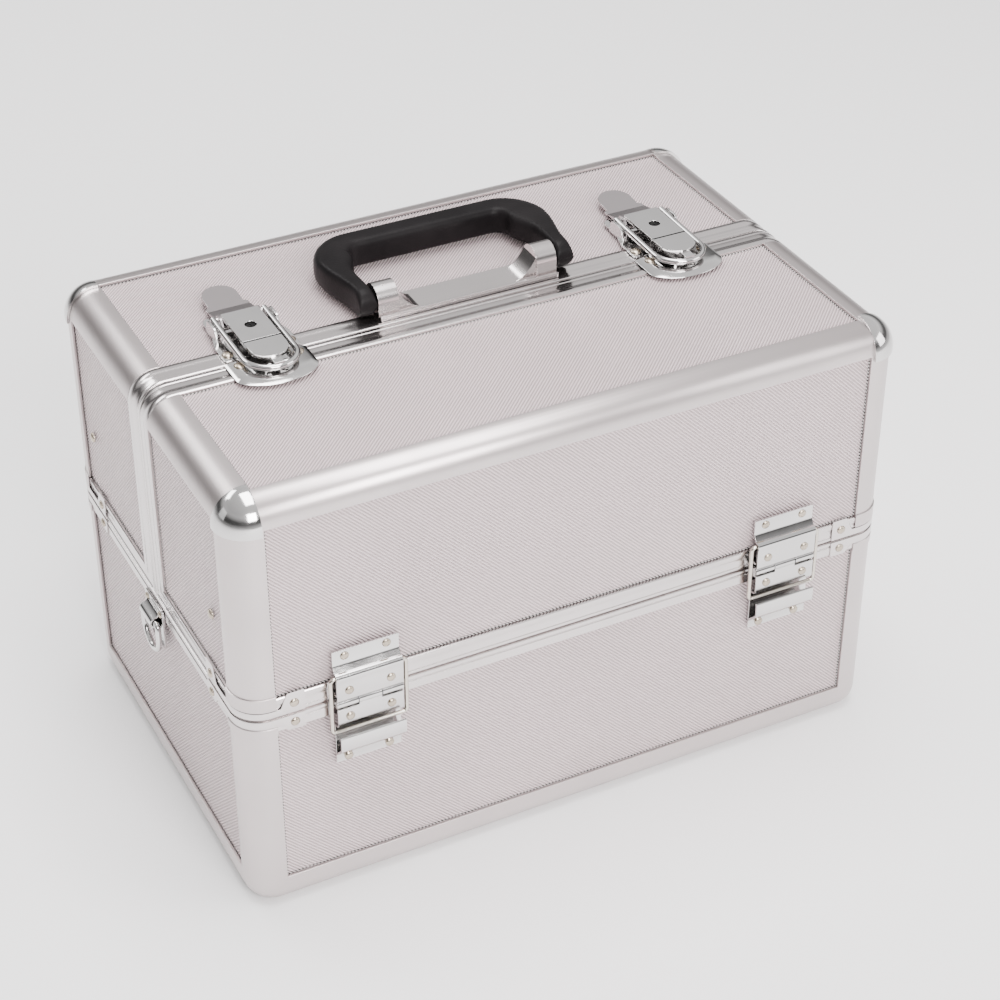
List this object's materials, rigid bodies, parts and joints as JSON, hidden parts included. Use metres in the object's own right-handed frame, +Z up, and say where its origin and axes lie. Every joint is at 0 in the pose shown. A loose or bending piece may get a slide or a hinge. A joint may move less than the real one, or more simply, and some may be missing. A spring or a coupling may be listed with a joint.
{
  "type": "makeup train case",
  "caption": "Rounded aluminium train case whose two half lids turn outwards on stop hinges and swing out cantilever trays, with draw latches, a folding handle and carrying rings.",
  "frame": {"origin": "middle of the closed case's bottom face", "axes": "+X along the case's length to its right, +Y to the rear, where the handle's lid is, +Z up; the front faces -Y"},
  "size_m": [0.378, 0.2526, 0.2627],
  "materials": {
    "aluminium": "brushed satin",
    "chrome": "polished",
    "panel": "embossed metallic laminate",
    "plastic": "moulded, satin",
    "grip": "moulded, fine texture",
    "padding": "quilted"
  },
  "bodies": {
    "base": {"base_shell": "panel", "base_frame": "aluminium", "base_rim": "aluminium", "base_liner": "padding", "base_divider_cross": "padding", "base_divider_long": "padding", "arm_rail_left": "aluminium", "arm_rail_right": "aluminium", "ring_clip_left": "chrome", "ring_clip_right": "chrome", "front_hinge_base_leaf_left": "chrome", "front_hinge_base_leaf_right": "chrome", "rear_hinge_base_leaf_left": "chrome", "rear_hinge_base_leaf_right": "chrome"},
    "front_lid": {"front_lid_shell": "panel", "front_lid_frame": "aluminium", "front_lid_rim": "aluminium", "front_corner_cap_left": "chrome", "front_corner_cap_right": "chrome", "front_hinge_lid_leaf_left": "chrome", "front_hinge_lid_leaf_right": "chrome", "latch_keeper_left": "chrome", "latch_keeper_right": "chrome"},
    "front_bails": {"front_hinge_bail_left": "chrome", "front_hinge_bail_right": "chrome"},
    "front_long_arms": {"front_long_arm_left": "aluminium", "front_long_arm_right": "aluminium"},
    "front_short_arms": {"front_short_arm_left": "aluminium", "front_short_arm_right": "aluminium"},
    "front_lower_tray": {"front_lower_tray": "plastic"},
    "front_upper_tray": {"front_upper_tray": "plastic"},
    "front_upper_links": {"front_upper_link_left": "aluminium", "front_upper_link_right": "aluminium"},
    "rear_lid": {"rear_lid_shell": "panel", "rear_lid_frame": "aluminium", "rear_lid_rim": "aluminium", "rear_corner_cap_left": "chrome", "rear_corner_cap_right": "chrome", "rear_hinge_lid_leaf_left": "chrome", "rear_hinge_lid_leaf_right": "chrome", "handle_bracket": "aluminium", "latch_body_left": "chrome", "latch_body_right": "chrome"},
    "rear_bails": {"rear_hinge_bail_left": "chrome", "rear_hinge_bail_right": "chrome"},
    "rear_long_arms": {"rear_long_arm_left": "aluminium", "rear_long_arm_right": "aluminium"},
    "rear_short_arms": {"rear_short_arm_left": "aluminium", "rear_short_arm_right": "aluminium"},
    "rear_lower_tray": {"rear_lower_tray": "plastic"},
    "rear_upper_tray": {"rear_upper_tray": "plastic"},
    "rear_upper_links": {"rear_upper_link_left": "aluminium", "rear_upper_link_right": "aluminium"},
    "latch_lever_left": {"latch_lever_left": "chrome"},
    "latch_hasp_left": {"latch_hasp_left": "chrome"},
    "latch_lever_right": {"latch_lever_right": "chrome"},
    "latch_hasp_right": {"latch_hasp_right": "chrome"},
    "handle": {"handle_grip": "grip"},
    "d_ring_left": {"d_ring_left": "chrome"},
    "d_ring_right": {"d_ring_right": "chrome"}
  },
  "joints": [
    {"name": "front_lid_hinge", "type": "hinge", "parent": "base", "child": "front_lid", "pos_m": [0, -0.1215, 0.122], "axis": [1, 0, 0], "range_deg": [0, 90]},
    {"name": "front_bail_hinge", "type": "hinge", "parent": "front_lid", "child": "front_bails", "pos_m": [0, -0.1215, 0.1375], "axis": [1, 0, 0], "range_deg": [-63, 0]},
    {"name": "front_long_arm_hinge", "type": "hinge", "parent": "base", "child": "front_long_arms", "pos_m": [0, -0.084, 0.126], "axis": [1, 0, 0], "range_deg": [0, 72]},
    {"name": "front_short_arm_hinge", "type": "hinge", "parent": "base", "child": "front_short_arms", "pos_m": [0, -0.056, 0.126], "axis": [1, 0, 0], "range_deg": [0, 72]},
    {"name": "front_lower_tray_pivot", "type": "hinge", "parent": "front_long_arms", "child": "front_lower_tray", "pos_m": [0, -0.056, 0.16249], "axis": [1, 0, 0], "range_deg": [-72, 0]},
    {"name": "front_upper_tray_pivot", "type": "hinge", "parent": "front_long_arms", "child": "front_upper_tray", "pos_m": [0, -0.01825, 0.21168], "axis": [1, 0, 0], "range_deg": [-72, 0]},
    {"name": "front_upper_link_pivot", "type": "hinge", "parent": "front_lower_tray", "child": "front_upper_links", "pos_m": [0, -0.088, 0.16249], "axis": [1, 0, 0], "range_deg": [0, 72]},
    {"name": "rear_lid_hinge", "type": "hinge", "parent": "base", "child": "rear_lid", "pos_m": [0, 0.1215, 0.122], "axis": [-1, 0, 0], "range_deg": [0, 90]},
    {"name": "rear_bail_hinge", "type": "hinge", "parent": "rear_lid", "child": "rear_bails", "pos_m": [0, 0.1215, 0.1375], "axis": [-1, 0, 0], "range_deg": [-63, 0]},
    {"name": "rear_long_arm_hinge", "type": "hinge", "parent": "base", "child": "rear_long_arms", "pos_m": [0, 0.084, 0.126], "axis": [-1, 0, 0], "range_deg": [0, 72]},
    {"name": "rear_short_arm_hinge", "type": "hinge", "parent": "base", "child": "rear_short_arms", "pos_m": [0, 0.056, 0.126], "axis": [-1, 0, 0], "range_deg": [0, 72]},
    {"name": "rear_lower_tray_pivot", "type": "hinge", "parent": "rear_long_arms", "child": "rear_lower_tray", "pos_m": [0, 0.056, 0.16249], "axis": [-1, 0, 0], "range_deg": [-72, 0]},
    {"name": "rear_upper_tray_pivot", "type": "hinge", "parent": "rear_long_arms", "child": "rear_upper_tray", "pos_m": [0, 0.01825, 0.21168], "axis": [-1, 0, 0], "range_deg": [-72, 0]},
    {"name": "rear_upper_link_pivot", "type": "hinge", "parent": "rear_lower_tray", "child": "rear_upper_links", "pos_m": [0, 0.088, 0.16249], "axis": [-1, 0, 0], "range_deg": [0, 72]},
    {"name": "latch_left_lever", "type": "hinge", "parent": "rear_lid", "child": "latch_lever_left", "pos_m": [-0.115, 0.028, 0.2494], "axis": [1, 0, 0], "range_deg": [0, 90]},
    {"name": "latch_left_hasp", "type": "hinge", "parent": "latch_lever_left", "child": "latch_hasp_left", "pos_m": [-0.115, 0.032, 0.2526], "axis": [1, 0, 0], "range_deg": [-126.5, 0]},
    {"name": "latch_right_lever", "type": "hinge", "parent": "rear_lid", "child": "latch_lever_right", "pos_m": [0.115, 0.028, 0.2494], "axis": [1, 0, 0], "range_deg": [0, 90]},
    {"name": "latch_right_hasp", "type": "hinge", "parent": "latch_lever_right", "child": "latch_hasp_right", "pos_m": [0.115, 0.032, 0.2526], "axis": [1, 0, 0], "range_deg": [-126.5, 0]},
    {"name": "handle_hinge", "type": "hinge", "parent": "rear_lid", "child": "handle", "pos_m": [0, 0.0135, 0.2548], "axis": [1, 0, 0], "range_deg": [0, 90]},
    {"name": "d_ring_left_hinge", "type": "hinge", "parent": "base", "child": "d_ring_left", "pos_m": [-0.1864, 0, 0.1105], "axis": [0, 1, 0], "range_deg": [0, 80]},
    {"name": "d_ring_right_hinge", "type": "hinge", "parent": "base", "child": "d_ring_right", "pos_m": [0.1864, 0, 0.1105], "axis": [0, -1, 0], "range_deg": [0, 80]}
  ],
  "couplings": [
    {"joint": "front_bail_hinge", "follows": "front_lid_hinge", "ratio": -0.67},
    {"joint": "front_long_arm_hinge", "follows": "front_lid_hinge", "ratio": 0.79},
    {"joint": "front_short_arm_hinge", "follows": "front_lid_hinge", "ratio": 0.79},
    {"joint": "front_lower_tray_pivot", "follows": "front_lid_hinge", "ratio": -0.79},
    {"joint": "front_upper_tray_pivot", "follows": "front_lid_hinge", "ratio": -0.79},
    {"joint": "front_upper_link_pivot", "follows": "front_lid_hinge", "ratio": 0.79},
    {"joint": "rear_bail_hinge", "follows": "rear_lid_hinge", "ratio": -0.67},
    {"joint": "rear_long_arm_hinge", "follows": "rear_lid_hinge", "ratio": 0.79},
    {"joint": "rear_short_arm_hinge", "follows": "rear_lid_hinge", "ratio": 0.79},
    {"joint": "rear_lower_tray_pivot", "follows": "rear_lid_hinge", "ratio": -0.79},
    {"joint": "rear_upper_tray_pivot", "follows": "rear_lid_hinge", "ratio": -0.79},
    {"joint": "rear_upper_link_pivot", "follows": "rear_lid_hinge", "ratio": 0.79},
    {"joint": "latch_left_hasp", "follows": "latch_left_lever", "ratio": -1.4},
    {"joint": "latch_right_hasp", "follows": "latch_right_lever", "ratio": -1.4}
  ]
}
